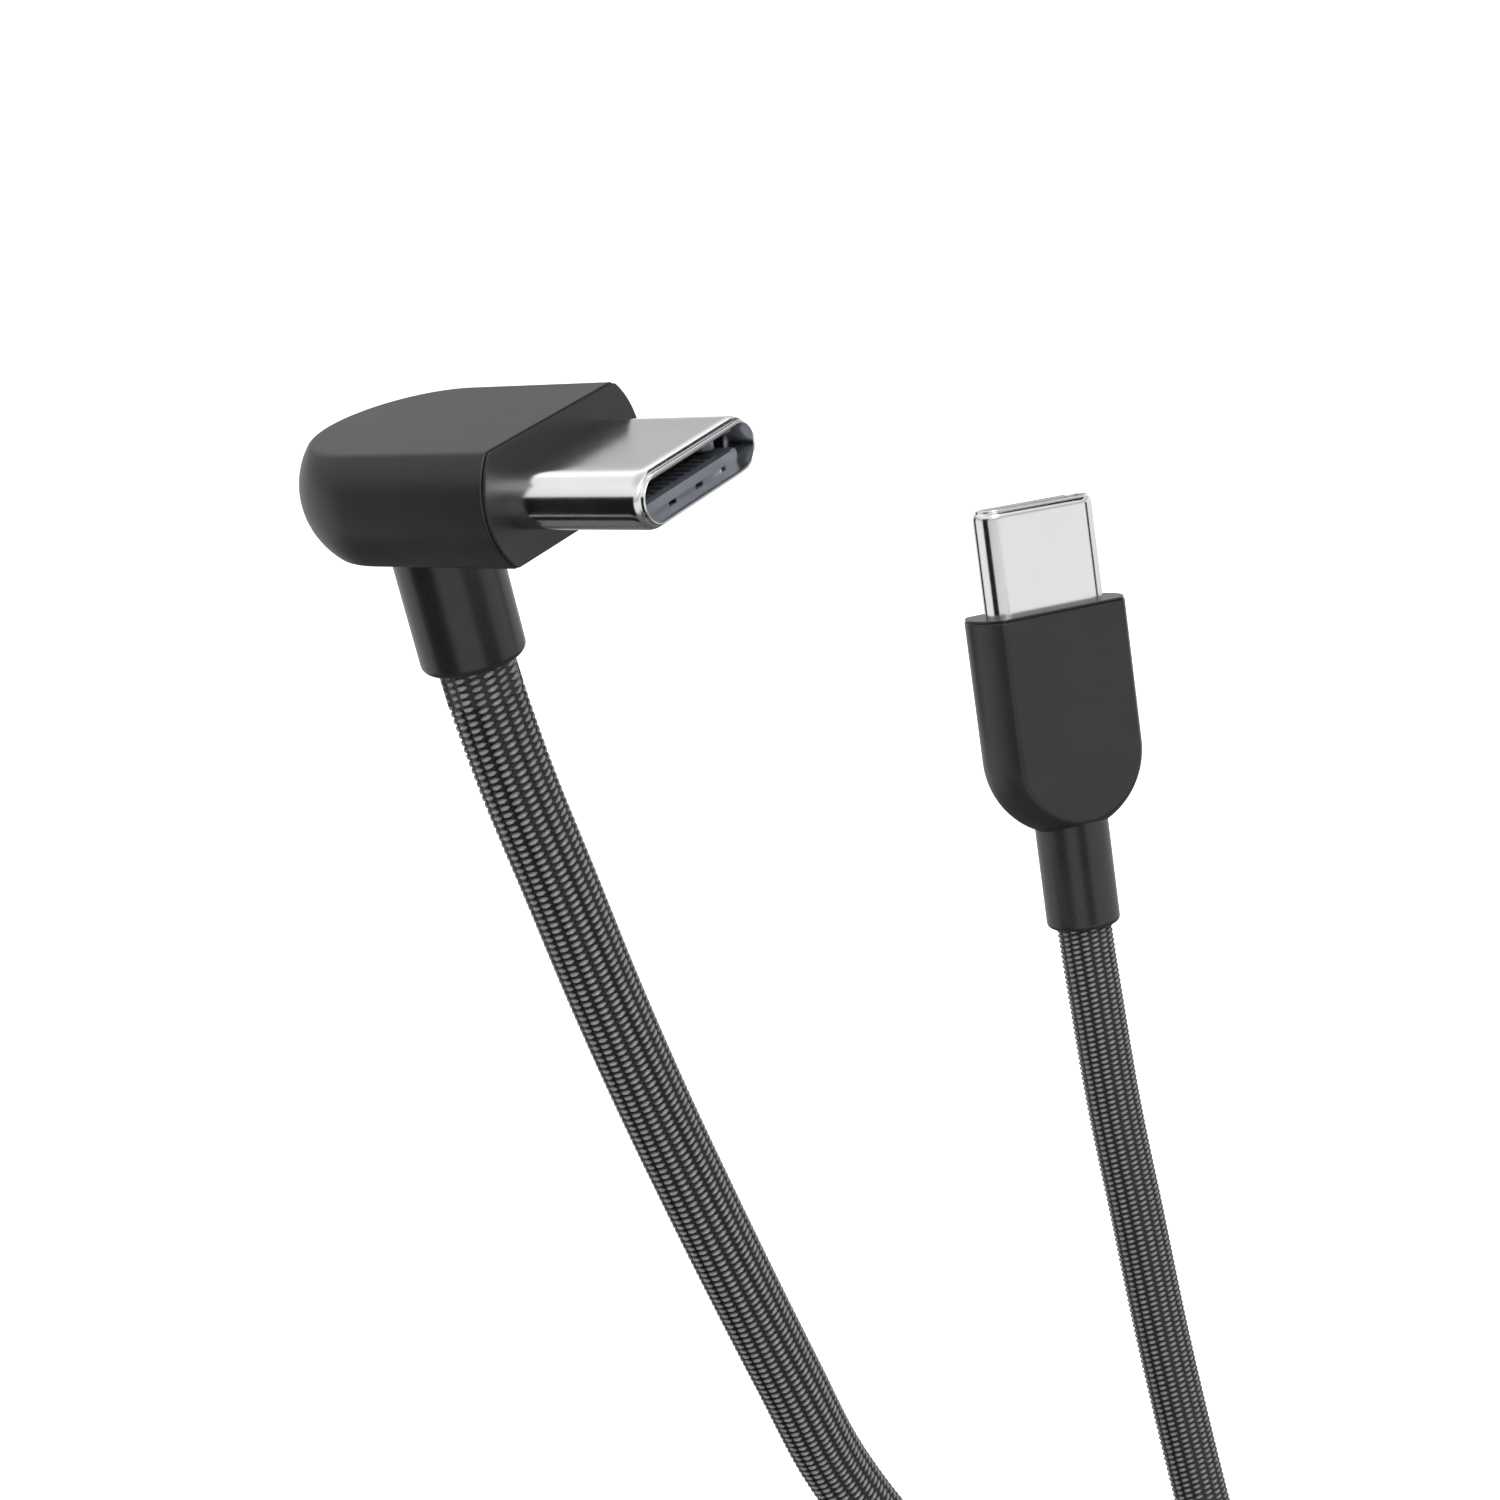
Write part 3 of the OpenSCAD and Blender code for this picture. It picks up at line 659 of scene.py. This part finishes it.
def cord(mats):
    """The whole cord as one tube, with UVs that count the braid's columns and rows."""
    at, centres, dense = cord_line()
    count, sides = len(at), COLUMNS * SIDES_PER_COLUMN
    normals, binormals = carried_frames(centres, at)
    u = np.arange(sides) / SIDES_PER_COLUMN
    v = at / ROW
    radius = CORD_R + braid_relief(u, v, dense)
    a = 2 * math.pi * u / COLUMNS
    points = centres[:, None, :] + radius[..., None] * (
        np.cos(a)[None, :, None] * normals[:, None, :] + np.sin(a)[None, :, None] * binormals[:, None, :])
    i, k = np.meshgrid(np.arange(count - 1), np.arange(sides), indexing="ij")
    m = (k + 1) % sides
    here, ahead = i * sides, (i + 1) * sides
    faces = np.stack([here + k, here + m, ahead + m, ahead + k], -1).reshape(-1, 4)
    flat = points.reshape(-1, 3) * MM
    mesh = bpy.data.meshes.new("braided_cord")
    caps = [tuple(range(sides))[::-1], tuple((count - 1) * sides + q for q in range(sides))]
    mesh.from_pydata(flat.tolist(), [], faces.tolist() + caps)
    uv = mesh.uv_layers.new(name="braid")
    us = np.stack([k, k + 1, k + 1, k], -1).reshape(-1) / SIDES_PER_COLUMN
    vs = np.stack([v[i], v[i], v[i + 1], v[i + 1]], -1).reshape(-1)
    corners = np.concatenate([np.stack([us, vs], 1), np.zeros((2 * sides, 2))])
    uv.data.foreach_set("uv", corners.astype(np.float32).ravel())
    mesh.shade_smooth()
    mesh.materials.append(mats["braid"])
    piece = bpy.data.objects.new("braided_cord", mesh)
    bpy.context.scene.collection.objects.link(piece)
    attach(piece, "cable")
    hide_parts("cord_angled_run", "cord_coil", "cord_straight_run")
    return piece


STRAP_CORNER, STRAP_TURNS, STRAP_STEPS = 1.5, 1.235, 120
LAP_START, LAP_GAP, TAIL_LENGTH = 0.93, 1.02, 0.05


def strap_section(grow):
    """Outline of the coil's section, rounded at its corners and grown outwards, in radius and height."""
    low_r, high_r = INNER_R - CORD_R + STRAP_CORNER, OUTER_R + CORD_R - STRAP_CORNER
    low_z, high_z = COIL_LOW_Z + TIE_T + STRAP_CORNER, COIL_HIGH_Z - STRAP_CORNER
    rows = []
    for r, z, start in ((high_r, high_z, 0), (low_r, high_z, 90), (low_r, low_z, 180), (high_r, low_z, 270)):
        rows += [p for p, _ in arc((r, z), STRAP_CORNER + grow, start, start + 90, 8)]
    return rows


def strap(mats):
    """Strap round the coil: once round its section, and an overlapped tail on the outside."""
    inner, outer = strap_section(0.0), strap_section(1.0)

    def spot(t, depth):
        """A point t of the way along the wound strap, depth times its thickness above its inner face."""
        layer = 1.0 if t >= 1 else max(0.0, (t - LAP_START) / (1 - LAP_START))
        n = len(inner)
        x = (t * n) % n
        i, f = int(x), (t * n) % 1
        a, b = np.array(inner[i % n]), np.array(inner[(i + 1) % n])
        c, d = np.array(outer[i % n]), np.array(outer[(i + 1) % n])
        base, over = a + (b - a) * f, c + (d - c) * f
        return base + (over - base) * (depth + layer * LAP_GAP) * TIE_T

    half = TIE_W / 2
    edge = [(-half, 0.35, 0.65), (-half + 0.1, 0.12, 0.88), (-half + 0.35, 0.0, 1.0)]
    widths = edge + [(w, 0.0, 1.0) for w in np.linspace(-half + 1, half - 1, 7)]
    widths += [(-w, low, high) for w, low, high in reversed(edge)]
    ring = [(w, high) for w, low, high in widths] + [(w, low) for w, low, high in reversed(widths)]
    loops = []
    for t in np.linspace(0.0, STRAP_TURNS, STRAP_STEPS):
        tail = max(0.0, (t - (STRAP_TURNS - TAIL_LENGTH)) / TAIL_LENGTH)
        narrowed = math.sqrt(max(1 - 0.75 * tail ** 2, 0.05))
        loop = []
        for w, depth in ring:
            r, z = spot(t, depth)
            a = math.radians(TIE_ANGLE) + w * narrowed / r
            loop.append((COIL_AT[0] + r * math.cos(a), COIL_AT[1] + r * math.sin(a), z))
        loops.append(loop)
    points, faces = lofted(loops, caps=(True, True))
    return finished("coil_strap", points, faces, mats["strap"], Matrix.Identity(4), "cable",
                    ["cable_tie"])


# ---------- CAD nodes that are shown as they are ----------

SHOWN = {"insulator": "carrier", "upper_contacts": "gold", "lower_contacts": "gold", "latch_left": "spring",
         "latch_right": "spring", "ground_springs": "spring", "paddle_card": "board", "shield_can": "can",
         "inner_mould": "inner", "wires": "wire", "crimp_ring": "can"}


def dress(node, material):
    """Gives a CAD node's own mesh a material."""
    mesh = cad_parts[node].data
    mesh.materials.clear()
    mesh.materials.append(material)


def main():
    make_camera()
    make_stage()
    mats = make_materials()
    for side, turn_x in (("angled", ANGLED_TURN_X), ("straight", STRAIGHT_TURN_X)):
        housing(side, turn_x, mats)
        front_plate(side, mats)
        shell(side, mats)
        sleeve(side, mats)
        for part, look in SHOWN.items():
            dress(f"{side}_{part}", mats[look])
    dress("identity_chip", mats["chip"])
    dress("board_passives", mats["ceramic"])
    tie = strap(mats)
    cord(mats)


main()
